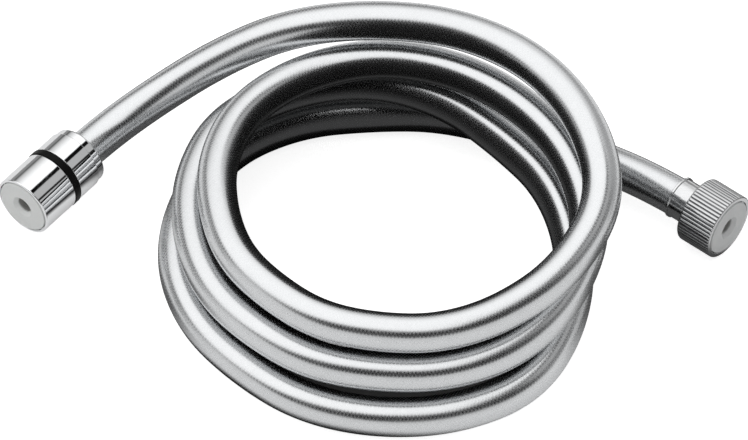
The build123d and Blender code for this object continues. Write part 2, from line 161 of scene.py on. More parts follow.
class Value:
    """A socket in a node tree. Arithmetic on it adds the Math nodes that it needs."""

    def __init__(self, bench, socket):
        self.bench = bench
        self.socket = socket

    def maths(self, operation, *terms):
        return self.bench.node("ShaderNodeMath", {"operation": operation}, dict(enumerate(terms)))

    def __add__(self, other):
        return self.maths("ADD", self, other)

    __radd__ = __add__

    def __mul__(self, other):
        return self.maths("MULTIPLY", self, other)

    __rmul__ = __mul__

    def __sub__(self, other):
        return self.maths("SUBTRACT", self, other)

    def __rsub__(self, other):
        return self.maths("SUBTRACT", other, self)

    def __truediv__(self, other):
        return self.maths("DIVIDE", self, other)

    def __rtruediv__(self, other):
        return self.maths("DIVIDE", other, self)

    def __pow__(self, other):
        return self.maths("POWER", self, other)

    def least(self, other):
        return self.maths("MINIMUM", self, other)

    def most(self, other):
        return self.maths("MAXIMUM", self, other)

    def size(self):
        return self.maths("ABSOLUTE", self)

    def wave(self):
        return self.maths("SINE", self)

    def fraction(self):
        return self.maths("FRACT", self)

    def ramp(self, low, high, start=0.0, end=1.0):
        """Eased from start to end as the value goes from low to high."""
        return self.bench.node(
            "ShaderNodeMapRange",
            {"interpolation_type": "SMOOTHSTEP"},
            {"Value": self, "From Min": low, "From Max": high, "To Min": start, "To Max": end},
        )

    def also(self, name):
        """Another output of the node that this value comes from."""
        return Value(self.bench, self.socket.node.outputs[name])


class Bench:
    """A node tree, and the one way in which nodes are added to it."""

    def __init__(self, tree):
        self.tree = tree
        tree.nodes.clear()

    def node(self, kind, settings=None, values=None, output=0):
        made = self.tree.nodes.new(kind)
        for name, setting in (settings or {}).items():
            setattr(made, name, setting)
        for name, value in (values or {}).items():
            if isinstance(value, Value):
                self.tree.links.new(value.socket, made.inputs[name])
            else:
                made.inputs[name].default_value = value
        return Value(self, made.outputs[output])

    def mix(self, share, first, second):
        """A colour between two others, each given as red, green and blue."""
        return self.node(
            "ShaderNodeMix",
            {"data_type": "RGBA"},
            {0: share, 6: (*first, 1), 7: (*second, 1)},
            2,
        )

    def parts(self, vector):
        """The x of a vector. Its y and z are that value's also("Y") and also("Z")."""
        return self.node("ShaderNodeSeparateXYZ", {}, {0: vector})

    def joined(self, x, y, z):
        """A vector from three values."""
        return self.node("ShaderNodeCombineXYZ", {}, {"X": x, "Y": y, "Z": z})

    def noise(self, where, scale, detail):
        return self.node(
            "ShaderNodeTexNoise",
            {},
            {"Vector": where, "Scale": scale, "Detail": detail, "Roughness": 0.55},
        )

    def place(self):
        """The coordinates of the piece itself, in metres."""
        return self.node("ShaderNodeTexCoord", output="Object")


class Finish(Bench):
    """A material with one Principled shader, whose even values are given by name."""

    def __init__(self, name, colour, **even):
        self.material = bpy.data.materials.new(name)
        self.material.use_nodes = True
        super().__init__(self.material.node_tree)
        self.shader = self.tree.nodes.new("ShaderNodeBsdfPrincipled")
        self.shader.inputs["Base Color"].default_value = (*colour, 1)
        for socket, value in even.items():
            self.shader.inputs[socket.replace("_", " ")].default_value = value
        end = self.tree.nodes.new("ShaderNodeOutputMaterial")
        self.tree.links.new(self.shader.outputs[0], end.inputs["Surface"])
        self.material.diffuse_color = (*colour, 1)

    def feed(self, socket, value):
        self.tree.links.new(value.socket, self.shader.inputs[socket])

    def bump(self, height, depth):
        values = {"Height": height, "Distance": depth, "Strength": 1.0}
        self.feed("Normal", self.node("ShaderNodeBump", {}, values))

    def run_and_side(self):
        """How far along the hose a point lies, and which way it faces across it."""
        run = self.node("ShaderNodeAttribute", {"attribute_name": "run"}, output="Fac")
        side = self.node("ShaderNodeAttribute", {"attribute_name": "side"}, output="Vector")
        return run, side

    def crossing(self, pitch, starts):
        """Two sets of waves that wind round the hose both ways, as the yarns of its braid do."""
        run, side = self.run_and_side()
        side = self.parts(side)
        around = side.maths("ARCTAN2", side.also("Y"), side) * starts
        lengthwise = run * (2 * math.pi / pitch)
        return (lengthwise + around).wave(), (lengthwise - around).wave()


# The film: bright, faintly grained metal under a clear gloss skin, with the braid showing through
# as a fine weave. Faint ripples run across the hose, several hundred to a metre.
WEAVE_PITCH = 0.00125
WEAVE_STARTS = 24
RIPPLES_ALONG = 700
RIPPLES_ACROSS = 3
FILM_BUMP = 0.00003
FILM_DULL, FILM_BRIGHT = (0.68, 0.69, 0.70), (0.74, 0.75, 0.76)

silver_film = Finish(
    "silver_film",
    (0.62, 0.63, 0.64),
    Metallic=1.0,
    Roughness=0.28,
    Coat_Weight=0.25,
    Coat_Roughness=0.12,
    Coat_IOR=1.45,
)
one_way, other_way = silver_film.crossing(WEAVE_PITCH, WEAVE_STARTS)
weave = one_way + other_way
run, side = silver_film.run_and_side()
side = silver_film.parts(side)
rippled = silver_film.joined(
    run * RIPPLES_ALONG, side * RIPPLES_ACROSS, side.also("Y") * RIPPLES_ACROSS
)
ripple = silver_film.noise(rippled, 1, 2)
on_film = silver_film.place()
grain = silver_film.noise(on_film, 1100, 2)
patches = silver_film.noise(on_film, 55, 3)
silver_film.bump(weave * 0.06 + ripple * 0.4, FILM_BUMP)
silver_film.feed("Roughness", 0.22 + patches * 0.1 + weave * 0.02)
film_tone = 0.5 + weave * 0.12 + (grain - 0.5) * 0.6 + (ripple - 0.5) * 0.4
silver_film.feed(
    "Base Color", silver_film.mix(film_tone.ramp(0.2, 0.8), FILM_DULL, FILM_BRIGHT)
)


class Grower(Bench):
    """A Geometry Nodes tree with named inputs, which grows meshes from a start mesh."""

    def __init__(self, name, inputs):
        tree = bpy.data.node_groups.new(name, "GeometryNodeTree")
        tree.is_modifier = True
        super().__init__(tree)
        self.sockets = {
            label: tree.interface.new_socket(
                label, in_out="INPUT", socket_type="NodeSocket" + kind
            )
            for label, kind in (("Start", "Geometry"), *inputs, ("Finish", "Material"))
        }
        tree.interface.new_socket("Grown", in_out="OUTPUT", socket_type="NodeSocketGeometry")
        self.start = self.node("NodeGroupInput")

    def end(self, shape):
        """Ends the tree: the shape is given its finish and passed out."""
        finish = self.start.also("Finish")
        shape = self.node("GeometryNodeRealizeInstances", {}, {"Geometry": shape})
        shape = self.node("GeometryNodeSetMaterial", {}, {"Geometry": shape, "Material": finish})
        end = self.tree.nodes.new("NodeGroupOutput")
        self.tree.links.new(shape.socket, end.inputs["Grown"])

    def grow(self, name, start, finish, values):
        """The plain mesh that the tree makes of a start mesh, with its named inputs set."""
        holder = added(name, start)
        modifier = holder.modifiers.new("grower", "NODES")
        modifier.node_group = self.tree
        for label, value in (*values.items(), ("Finish", finish.material)):
            modifier[self.sockets[label].identifier] = value
        bpy.context.view_layer.update()
        evaluated = holder.evaluated_get(bpy.context.evaluated_depsgraph_get())
        mesh = bpy.data.meshes.new_from_object(evaluated)
        mesh.name = name
        bpy.data.objects.remove(holder)
        return mesh


# A ring is carried along the hose's line. Each point of the layer keeps how far it has run along
# the line, and to which side of it the point lies.
layers = Grower("hose_layer", (("Radius", "Float"), ("Ring spacing", "Float"), ("Sides", "Int")))
line = layers.node("GeometryNodeMeshToCurve", {}, {"Mesh": layers.start})
line = layers.node(
    "GeometryNodeResampleCurve",
    {"mode": "LENGTH"},
    {"Curve": line, "Length": layers.start.also("Ring spacing")},
)
line_run = layers.node("GeometryNodeSplineParameter", output="Length")
line = layers.node(
    "GeometryNodeStoreNamedAttribute",
    {"data_type": "FLOAT", "domain": "POINT"},
    {"Geometry": line, "Name": "run", "Value": line_run},
)
ring = layers.node(
    "GeometryNodeCurvePrimitiveCircle",
    {"mode": "RADIUS"},
    {"Resolution": layers.start.also("Sides"), "Radius": layers.start.also("Radius")},
)
ring_spot = layers.node("GeometryNodeInputPosition")
ring_side = layers.node("ShaderNodeVectorMath", {"operation": "NORMALIZE"}, {0: ring_spot})
ring = layers.node(
    "GeometryNodeStoreNamedAttribute",
    {"data_type": "FLOAT_VECTOR", "domain": "POINT"},
    {"Geometry": ring, "Name": "side", "Value": ring_side},
)
tube = layers.node("GeometryNodeCurveToMesh", {}, {"Curve": line, "Profile Curve": ring})
layers.end(layers.node("GeometryNodeSetShadeSmooth", {}, {"Geometry": tube}))


def hose_layer(name, outer_r, wall, ring_spacing, sides, finish, nodes):
    """One layer of the hose. Its wall is added inwards from its outer face."""
    values = {"Radius": outer_r, "Ring spacing": ring_spacing, "Sides": sides}
    layer = added(name, layers.grow(name, line_mesh.copy(), finish, values))
    thick = layer.modifiers.new("wall", "SOLIDIFY")
    thick.thickness = wall
    thick.offset = -1
    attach(layer, "hose")
    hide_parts(*nodes)
    return layer


hose_jacket = hose_layer(
    "hose_jacket",
    HOSE_R,
    JACKET_WALL,
    JACKET_RINGS_APART,
    JACKET_SIDES,
    silver_film,
    ("hose_jacket_swivel_tail", "hose_jacket_coil", "hose_jacket_knurled_tail"),
)

# The braid: two sets of white polyester yarns that cross over and under each other
BRAID_PITCH = 0.0025
BRAID_STARTS = 12
YARN_HEIGHT = 0.0002
INNER_RINGS_APART = 0.004
INNER_SIDES = 36
polyester = Finish("white_polyester", (0.86, 0.86, 0.84), Roughness=0.75, Sheen_Weight=0.2)
one_way, other_way = polyester.crossing(BRAID_PITCH, BRAID_STARTS)
yarns = one_way.most(other_way)
polyester.bump(yarns, YARN_HEIGHT)
polyester.feed(
    "Base Color", polyester.mix(yarns.ramp(-0.6, 0.6), (0.62, 0.62, 0.60), (0.88, 0.88, 0.86))
)
braid = hose_layer(
    "polyester_braid",
    HOSE_R - JACKET_WALL - LAYER_GAP,
    BRAID_WALL,
    INNER_RINGS_APART,
    INNER_SIDES,
    polyester,
    ("reinforcement_braid",),
)

# The inner tube: plain milky PVC, extruded, so its faint marks run lengthwise
liner_pvc = Finish(
    "milky_pvc",
    (0.88, 0.88, 0.86),
    Roughness=0.4,
    Subsurface_Weight=0.1,
    Subsurface_Scale=0.001,
)
marks = liner_pvc.noise(liner_pvc.run_and_side()[1], 9, 2)
liner_pvc.bump(marks, 0.00005)
liner_pvc.feed("Base Color", liner_pvc.mix(marks, (0.84, 0.84, 0.82), (0.91, 0.91, 0.89)))
liner_pvc.feed("Roughness", 0.32 + marks * 0.16)
liner_r = HOSE_R - JACKET_WALL - LAYER_GAP - BRAID_WALL - LAYER_GAP
liner = hose_layer(
    "pvc_inner_tube",
    liner_r,
    liner_r - LINER_BORE_R,
    INNER_RINGS_APART,
    INNER_SIDES,
    liner_pvc,
    ("inner_tube",),
)

# ---------------------------------------------------------------- the swivel union nut
# The smooth nut that pulls the washer onto a spray handle, turned from brass, polished and chromed.
# Its bore is cut with a half-inch pipe thread, and a web behind it runs on the neck.
# Measures of the connectors are in millimetres, and run back from the mouth and out from the axis.
SWIVEL_R = 11.45
NUT_BORE_R = 10.5
SWIVEL_NUT_L = 15.5
SWIVEL_WEB = 2.4
SWIVEL_WEB_R = 7.85

# How finely corners are rounded, the least radius of any, and the most of an edge that an arc and
# its supporting point may take up
ARC_STEPS = 5
LEAST_RADIUS = 0.06
ARC_SHARE = 0.45
SUPPORT, SUPPORT_SHARE = 0.05, 0.1
TURNED_SIDES = 128


def rounded(corners):
    """The closed section of a turned piece. Each corner is (along, out, radius), and becomes a
    small arc with a supporting point at either end, which keeps the faces beside it flat."""
    section = []
    for index, (along, out, radius) in enumerate(corners):
        here = Vector((along, out))
        before = Vector(corners[index - 1][:2]) - here
        after = Vector(corners[(index + 1) % len(corners)][:2]) - here
        half = before.angle(after) / 2
        reach = max(radius, LEAST_RADIUS) / math.tan(half)
        reach = min(reach, ARC_SHARE * before.length, ARC_SHARE * after.length)
        to_before, to_after = before.normalized(), after.normalized()
        arc_start, arc_end = here + to_before * reach, here + to_after * reach
        centre = here + (to_before + to_after).normalized() * (reach / math.cos(half))
        first, last = arc_start - centre, arc_end - centre
        opened = first.angle(last)
        section.append(arc_start + to_before * min(SUPPORT, SUPPORT_SHARE * before.length))
        for step in range(ARC_STEPS + 1):
            share = step / ARC_STEPS
            arm = first * math.sin((1 - share) * opened) + last * math.sin(share * opened)
            section.append(centre + arm / math.sin(opened))
        section.append(arc_end + to_after * min(SUPPORT, SUPPORT_SHARE * after.length))
    return section


def turned_mesh(name, section, angles):
    """A closed section carried round the axis, with a copy of it at each angle."""
    count = len(section)
    points = [
        (spot.x, spot.y * math.cos(angle), spot.y * math.sin(angle))
        for angle in angles
        for spot in section
    ]
    faces = []
    for side in range(len(angles)):
        here, there = side * count, (side + 1) % len(angles) * count
        for index in range(count):
            nearby = (index + 1) % count
            faces.append((here + index, here + nearby, there + nearby, there + index))
    mesh = bpy.data.meshes.new(name)
    mesh.from_pydata(points, [], faces)
    work = bmesh.new()
    work.from_mesh(mesh)
    bmesh.ops.recalc_face_normals(work, faces=work.faces)
    work.to_mesh(mesh)
    work.free()
    mesh.shade_smooth()
    return mesh


def set_down(name, mesh, place, finish, body, nodes=()):
    """Puts a finished mesh in its place on a connector and lets it ride on its body."""
    mesh.transform(place @ Matrix.Scale(0.001, 4))
    mesh.materials.clear()
    mesh.materials.append(finish.material)
    piece = added(name, mesh)
    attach(piece, body)
    if nodes:
        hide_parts(*nodes)


def turned(name, place, corners, finish, body, slot, nodes, sides=TURNED_SIDES):
    """A piece turned on a lathe, from its section's corners."""
    angles = [2 * math.pi * side / sides for side in range(sides)]
    mesh = turned_mesh(name, rounded(corners), angles)
    set_down(name, mesh, place, finish, body, nodes)


# Polished chrome: a mirror with the faint waviness of the polished brass below it, and a trace of
# haze
chrome = Finish("polished_chrome", (0.84, 0.85, 0.86), Metallic=1.0, Roughness=0.05)
on_chrome = chrome.place()
haze = chrome.noise(on_chrome, 150, 4)
chrome.feed("Roughness", haze.ramp(0.35, 0.8, 0.03, 0.1))
chrome.feed("Base Color", chrome.mix(haze, (0.80, 0.81, 0.82), (0.88, 0.885, 0.89)))
chrome.bump(chrome.noise(on_chrome, 320, 2), 0.00001)

turned(
    "smooth_union_nut",
    SWIVEL_PLACE,
    [
        (0, NUT_BORE_R, 0.15),
        (0, SWIVEL_R, 0.4),
        (SWIVEL_NUT_L, SWIVEL_R, 0.4),
        (SWIVEL_NUT_L, SWIVEL_WEB_R, 0.1),
        (SWIVEL_NUT_L - SWIVEL_WEB, SWIVEL_WEB_R, 0.1),
        (SWIVEL_NUT_L - SWIVEL_WEB, NUT_BORE_R, 0.1),
    ],
    chrome,
    "swivel_union",
    "chrome",
    ("swivel_nut",),
)

# The thread in the nut's bore: a ridge of diamond section is carried along a helix. The ridge's
# half width is a share of the pitch.
THREAD_PITCH = 1.814
RIDGE_HEIGHT = 0.3
RIDGE_HALF_WIDTH = 0.42
THREAD_FRONT = 1.2
SWIVEL_THREAD_REAR = 11.2

threads = Grower(
    "pipe_thread",
    (("Bore radius", "Float"), ("Pitch", "Float"), ("Turns", "Float"), ("Ridge height", "Float")),
)
bore_r, pitch = threads.start.also("Bore radius"), threads.start.also("Pitch")
thread_turns = threads.start.also("Turns")
helix = threads.node(
    "GeometryNodeCurveSpiral",
    {},
    {
        "Resolution": 72,
        "Rotations": thread_turns,
        "Start Radius": bore_r,
        "End Radius": bore_r,
        "Height": thread_turns * pitch,
    },
)
helix = threads.node("GeometryNodeSetCurveNormal", {"mode": "Z_UP"}, {"Curve": helix})
ridge = threads.node(
    "GeometryNodeCurvePrimitiveCircle", {"mode": "RADIUS"}, {"Resolution": 4, "Radius": 1.0}
)
ridge_size = threads.joined(threads.start.also("Ridge height"), pitch * RIDGE_HALF_WIDTH, 1.0)
ridge = threads.node("GeometryNodeTransform", {}, {"Geometry": ridge, "Scale": ridge_size})
threads.end(
    threads.node(
        "GeometryNodeCurveToMesh",
        {},
        {"Curve": helix, "Profile Curve": ridge, "Fill Caps": True},
    )
)


def cut_thread(name, place, rear, body):
    """The thread in a nut's bore, which ends this far behind the nut's mouth."""
    values = {
        "Bore radius": NUT_BORE_R,
        "Pitch": THREAD_PITCH,
        "Turns": (rear - THREAD_FRONT) / THREAD_PITCH,
        "Ridge height": RIDGE_HEIGHT,
    }
    mesh = threads.grow(name, bpy.data.meshes.new(name), chrome, values)
    mesh.transform(Matrix.Translation((THREAD_FRONT, 0, 0)) @ Matrix.Rotation(math.pi / 2, 4, "Y"))
    set_down(name, mesh, place, chrome, body)


cut_thread("smooth_nut_thread", SWIVEL_PLACE, SWIVEL_THREAD_REAR, "swivel_union")

# ---------------------------------------------------------------- the washers
# Two flat rubber washers, moulded, one pale and one darker, each with a countersunk hole.
# They seal on the end of the spray handle and of the tap, and stand just proud of the nuts' mouths.
WASHER_R = 10.1
WASHER_FRONT, WASHER_REAR = -0.3, 1.5
WATERWAY_R = 3.0
COUNTERSINK = 1.3
WASHER_SIDES = 96


def washer(name, place, finish, body, slot, node):
    corners = [
        (WASHER_FRONT, WATERWAY_R + COUNTERSINK, 0.25),
        (WASHER_FRONT, WASHER_R, 0.4),
        (WASHER_REAR, WASHER_R, 0.4),
        (WASHER_REAR, WATERWAY_R, 0.1),
        (WASHER_FRONT + COUNTERSINK, WATERWAY_R, 0.3),
    ]
    turned(name, place, corners, finish, body, slot, (node,), WASHER_SIDES)


def rubber(name, dark, light, roughness):
    """Moulded rubber: matt, very slightly mottled, with the fine grain of the mould."""
    made = Finish(name, light, Roughness=roughness, Specular_IOR_Level=0.35)
    where = made.place()
    mottle = made.noise(where, 260, 4)
    made.feed("Base Color", made.mix(mottle, dark, light))
    made.feed("Roughness", roughness - 0.06 + mottle * 0.12)
    made.bump(made.noise(where, 2600, 2), 0.00001)
    return made


pale_rubber = rubber("pale_rubber", (0.86, 0.88, 0.87), (0.93, 0.94, 0.93), 0.5)
grey_rubber = rubber("grey_rubber", (0.70, 0.71, 0.71), (0.80, 0.81, 0.81), 0.5)
washer(
    "pale_washer",
    SWIVEL_PLACE,
    pale_rubber,
    "turning_spigot",
    "light_grey_rubber",
    "swivel_washer",
)
washer("grey_washer", KNURLED_PLACE, grey_rubber, "hose", "grey_rubber", "knurled_washer")

# ---------------------------------------------------------------- the bearing ring
# A moulded ring of black acetal between the nut and the sleeve, a hair proud of both.
# The nut bears on it, so its outside has a satin sheen and faint scuffs round it.
BEARING_R = 11.65
BEARING_FRONT = 15.6
SLEEVE_START = 18.4
acetal = Finish("black_acetal", (0.004, 0.004, 0.004), Roughness=0.42, Specular_IOR_Level=0.1)
on_ring = acetal.node(
    "ShaderNodeMapping",
    {},
    {"Vector": acetal.place(), "Rotation": (0, 0, math.radians(-50)), "Scale": (1400, 60, 60)},
)
scuffs = acetal.noise(on_ring, 1, 3)
acetal.feed("Roughness", 0.34 + scuffs * 0.16)
acetal.feed("Base Color", acetal.mix(scuffs, (0.003, 0.003, 0.003), (0.006, 0.006, 0.006)))
acetal.bump(scuffs, 0.00001)
turned(
    "black_bearing_ring",
    SWIVEL_PLACE,
    [
        (BEARING_FRONT, SWIVEL_WEB_R, 0.1),
        (BEARING_FRONT, BEARING_R, 0.4),
        (SLEEVE_START, BEARING_R, 0.4),
        (SLEEVE_START, SWIVEL_WEB_R, 0.1),
    ],
    acetal,
    "hose",
    "black_plastic",
    ("bearing_ring",),
)

# ---------------------------------------------------------------- the sleeve and its cap
# The chromed sleeve that covers the swivel's works, and the cap pressed into it from behind.
# Both are turned brass, and the cap closes round the hose with a rounded rear edge.
SLEEVE_REAR = 28.0
SLEEVE_BORE_R = 10.2
SLEEVE_FRONT_WALL = 1.2
CAP_REAR = 31.5
CAP_R = 10.95
CAP_PLUG, CAP_PLUG_R = 2.0, 10.15
CAP_BORE_R = 7.6
CAP_REAR_WALL = 0.8
CRIMP_BORE_R = 7.05
turned(
    "chromed_sleeve",
    SWIVEL_PLACE,
    [
        (SLEEVE_START, SWIVEL_WEB_R, 0.1),
        (SLEEVE_START, SWIVEL_R, 0.2),
        (SLEEVE_REAR, SWIVEL_R, 0.2),
        (SLEEVE_REAR, SLEEVE_BORE_R, 0.05),
        (SLEEVE_START + SLEEVE_FRONT_WALL, SLEEVE_BORE_R, 0.1),
        (SLEEVE_START + SLEEVE_FRONT_WALL, SWIVEL_WEB_R, 0.1),
    ],
    chrome,
    "hose",
    "chrome",
    ("rear_sleeve",),
)
turned(
    "chromed_cap",
    SWIVEL_PLACE,
    [
        (SLEEVE_REAR - CAP_PLUG, CAP_BORE_R, 0.05),
        (SLEEVE_REAR - CAP_PLUG, CAP_PLUG_R, 0.1),
        (SLEEVE_REAR, CAP_PLUG_R, 0.05),
        (SLEEVE_REAR, CAP_R, 0.06),
        (CAP_REAR, CAP_R, 0.8),
        (CAP_REAR, CRIMP_BORE_R, 0.1),
        (CAP_REAR - CAP_REAR_WALL, CRIMP_BORE_R, 0.05),
        (CAP_REAR - CAP_REAR_WALL, CAP_BORE_R, 0.05),
    ],
    chrome,
    "hose",
    "chrome",
    ("rear_cap",),
)

# ---------------------------------------------------------------- the works inside both connectors
# Nipples of turned brass with a thin nickel plate, which still shows the marks of the lathe.
# A spring steel clip, a steel crimp sleeve, nylon slip rings and two rubber O-rings go with them.
nickel = Finish("nickel_plate", (0.68, 0.67, 0.65), Metallic=0.6, Roughness=0.45)
on_nickel = nickel.place()
tarnish = nickel.noise(on_nickel, 300, 3)
nickel.feed("Base Color", nickel.mix(tarnish, (0.64, 0.635, 0.62), (0.75, 0.745, 0.73)))
nickel.feed("Roughness", 0.36 + tarnish * 0.14)
nickel.bump(nickel.noise(on_nickel, 1500, 2), 0.00001)

steel = Finish("satin_steel", (0.62, 0.63, 0.64), Metallic=1.0, Roughness=0.3)
on_steel = steel.place()
rub = steel.noise(on_steel, 500, 3)
steel.feed("Roughness", 0.25 + rub * 0.15)
steel.feed("Base Color", steel.mix(rub, (0.55, 0.56, 0.57), (0.68, 0.69, 0.70)))
steel.bump(rub, 0.00001)

nylon = Finish("white_nylon", (0.90, 0.90, 0.88), Roughness=0.45)
on_nylon = nylon.place()
cloud = nylon.noise(on_nylon, 300, 3)
nylon.feed("Base Color", nylon.mix(cloud, (0.86, 0.86, 0.83), (0.93, 0.93, 0.91)))
nylon.feed("Roughness", 0.38 + cloud * 0.14)
nylon.bump(cloud, 0.00001)

black_rubber = rubber("black_rubber", (0.012, 0.012, 0.012), (0.028, 0.028, 0.028), 0.4)

for finish, nodes in (
    (nickel, ("swivel_spigot", "swivel_hose_tail", "knurled_nipple")),
    (steel, ("retaining_clip", "swivel_crimp")),
    (nylon, ("swivel_slip_ring", "knurled_slip_ring")),
    (black_rubber, ("front_o_ring", "rear_o_ring")),
):
    for node in nodes:
        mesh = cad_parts[node].data
        mesh.materials.clear()
        mesh.materials.append(finish.material)

# ---------------------------------------------------------------- the knurled union nut
# The nut for the tap end, turned from brass, with 56 straight knurls rolled into it, and chromed.
# Its ends are rounded after knurling, so the knurls run out over the edges.
KNURLED_R = 12.15
KNURLED_NUT_L = 14.0
KNURLED_WEB = 2.2
KNURLED_WEB_R = 7.65
KNURLED_THREAD_REAR = 10.0
KNURLS = 56
KNURL_DEPTH = 0.27
KNURL_SLOPE = 0.64

# The nut starts as a smooth blank, and each spot near a root is pressed in towards the axis. A root
# lies halfway through every knurl's share of the rim, and its flanks slope evenly.
knurling = Grower(
    "straight_knurls",
    (("Outer radius", "Float"), ("Knurls", "Float"), ("Depth", "Float"), ("Slope", "Float")),
)
outer_r, knurls = knurling.start.also("Outer radius"), knurling.start.also("Knurls")
depth, slope = knurling.start.also("Depth"), knurling.start.also("Slope")
spot_x = knurling.parts(knurling.node("GeometryNodeInputPosition"))
spot_y, spot_z = spot_x.also("Y"), spot_x.also("Z")
out = (spot_y * spot_y + spot_z * spot_z) ** 0.5
angle = spot_z.maths("ARCTAN2", spot_z, spot_y)
phase = (angle * knurls / (2 * math.pi)).fraction()
from_root = (phase - 0.5).size() * (outer_r * (2 * math.pi) / knurls)
pressed = out.least(outer_r - (depth - from_root * slope).most(0.0))
share = pressed / out
knurled = knurling.node(
    "GeometryNodeStoreNamedAttribute",
    {"data_type": "FLOAT", "domain": "POINT"},
    {"Geometry": knurling.start, "Name": "rooted", "Value": (out - pressed) / depth},
)
pressed_spot = knurling.joined(spot_x, spot_y * share, spot_z * share)
knurling.end(
    knurling.node("GeometryNodeSetPosition", {}, {"Geometry": knurled, "Position": pressed_spot})
)

# The roots of the knurls are darkened with painted shade, and their crests are bright
knurled_chrome = Finish("knurled_chrome", (0.82, 0.83, 0.84), Metallic=1.0, Roughness=0.1)
rooted = knurled_chrome.node("ShaderNodeAttribute", {"attribute_name": "rooted"}, output="Fac")
on_knurls = knurled_chrome.noise(knurled_chrome.place(), 400, 3)
painted_root_shade = rooted.ramp(0.1, 0.7) * (0.7 + on_knurls * 0.3)
knurled_chrome.feed(
    "Base Color", knurled_chrome.mix(painted_root_shade, (0.62, 0.625, 0.63), (0.05, 0.05, 0.055))
)
knurled_chrome.feed("Roughness", 0.08 + on_knurls * 0.06 + painted_root_shade * 0.15)
knurled_chrome.bump(on_knurls, 0.00001)

# The blank has its edges where the knurls need them. Through one knurl's share of the rim, from 0
# to 1, the crest ends at LAND_EDGE, the root lies at 0.5, and the far flank mirrors the near one.
LAND_EDGE = 0.5 - KNURL_DEPTH / KNURL_SLOPE * KNURLS / (2 * math.pi * KNURLED_R)
near_flank = (0.7 * LAND_EDGE, LAND_EDGE, LAND_EDGE + 0.05, 0.46)
knurl_steps = (0.0, *near_flank, *(1 - step for step in reversed(near_flank)))
blank = turned_mesh(
    "knurled_blank",
    rounded(
        [
            (0, NUT_BORE_R, 0.15),
            (0, KNURLED_R, 0.4),
            (KNURLED_NUT_L, KNURLED_R, 1.0),
            (KNURLED_NUT_L, KNURLED_WEB_R, 0.1),
            (KNURLED_NUT_L - KNURLED_WEB, KNURLED_WEB_R, 0.1),
            (KNURLED_NUT_L - KNURLED_WEB, NUT_BORE_R, 0.1),
        ]
    ),
    [2 * math.pi * (knurl + step) / KNURLS for knurl in range(KNURLS) for step in knurl_steps],
)
knurl_values = {
    "Outer radius": KNURLED_R,
    "Knurls": float(KNURLS),
    "Depth": KNURL_DEPTH,
    "Slope": KNURL_SLOPE,
}
set_down(
    "knurled_union_nut",
    knurling.grow("knurled_union_nut", blank, knurled_chrome, knurl_values),
    KNURLED_PLACE,
    knurled_chrome,
    "knurled_union",
    ("knurled_nut",),
)
cut_thread("knurled_nut_thread", KNURLED_PLACE, KNURLED_THREAD_REAR, "knurled_union")

# ---------------------------------------------------------------- the ferrule
# A thin chromed tube, drawn from brass and crimped over the hose behind the knurled nut, with a
# rolled bead at its end. Drawing and crimping leave faint marks that run lengthwise.
FERRULE_R = 7.4
FERRULE_FRONT = 6.0
FERRULE_LIP, FERRULE_LIP_R = 0.8, 4.65
BEAD_FRONT, BEAD_REAR = 21.5, 22.5
BEAD_R = FERRULE_R + 0.45
drawn_chrome = Finish("drawn_chrome", (0.80, 0.805, 0.81), Metallic=1.0, Roughness=0.12)
on_ferrule = drawn_chrome.node(
    "ShaderNodeMapping",
    {},
    {
        "Vector": drawn_chrome.place(),
        "Rotation": (0, 0, -math.radians(KNURLED_HEADING_DEG)),
        "Scale": (90, 900, 900),
    },
)
draw_marks = drawn_chrome.noise(on_ferrule, 1, 3)
drawn_chrome.feed("Roughness", draw_marks.ramp(0.3, 0.7, 0.08, 0.2))
drawn_chrome.feed(
    "Base Color", drawn_chrome.mix(draw_marks, (0.62, 0.625, 0.63), (0.78, 0.785, 0.79))
)
drawn_chrome.bump(draw_marks, 0.00003)
turned(
    "crimped_ferrule",
    KNURLED_PLACE,
    [
        (FERRULE_FRONT, FERRULE_LIP_R, 0.05),
        (FERRULE_FRONT, FERRULE_R, 0.3),
        (BEAD_FRONT, FERRULE_R, 0.1),
        (BEAD_FRONT, BEAD_R, 0.25),
        (BEAD_REAR, BEAD_R, 0.25),
        (BEAD_REAR, CRIMP_BORE_R, 0.05),
        (FERRULE_FRONT + FERRULE_LIP, CRIMP_BORE_R, 0.05),
        (FERRULE_FRONT + FERRULE_LIP, FERRULE_LIP_R, 0.05),
    ],
    drawn_chrome,
    "hose",
    "chrome",
    ("ferrule",),
)

# ---------------------------------------------------------------- the floor and the light
# A plain pale floor under a broad soft light overhead and to the left, and a dimmer surround. The
# floor glows for the camera, so that the ground is white, and still takes a faint shadow. A dark
# card under the coil and a dark block inside it are seen in the metal's reflections alone, where
# they paint the shade of the coil's inside, and the block's glowing foot paints a faint light
# there.
FLOOR_HALF = 3.0


def sheet_on_floor(name, half, height, finish):
    corners = [(x * half, y * half, height) for x, y in ((-1, -1), (1, -1), (1, 1), (-1, 1))]
    mesh = bpy.data.meshes.new(name)
    mesh.from_pydata(corners, [], [(0, 1, 2, 3)])
    mesh.materials.append(finish.material)
    laid = added(name, mesh)
    return laid


def distance(spot_x, centre):
    """How far a spot on the floor lies from a centre. The spot is given by its x."""
    return ((spot_x - centre[0]) ** 2 + (spot_x.also("Y") - centre[1]) ** 2) ** 0.5
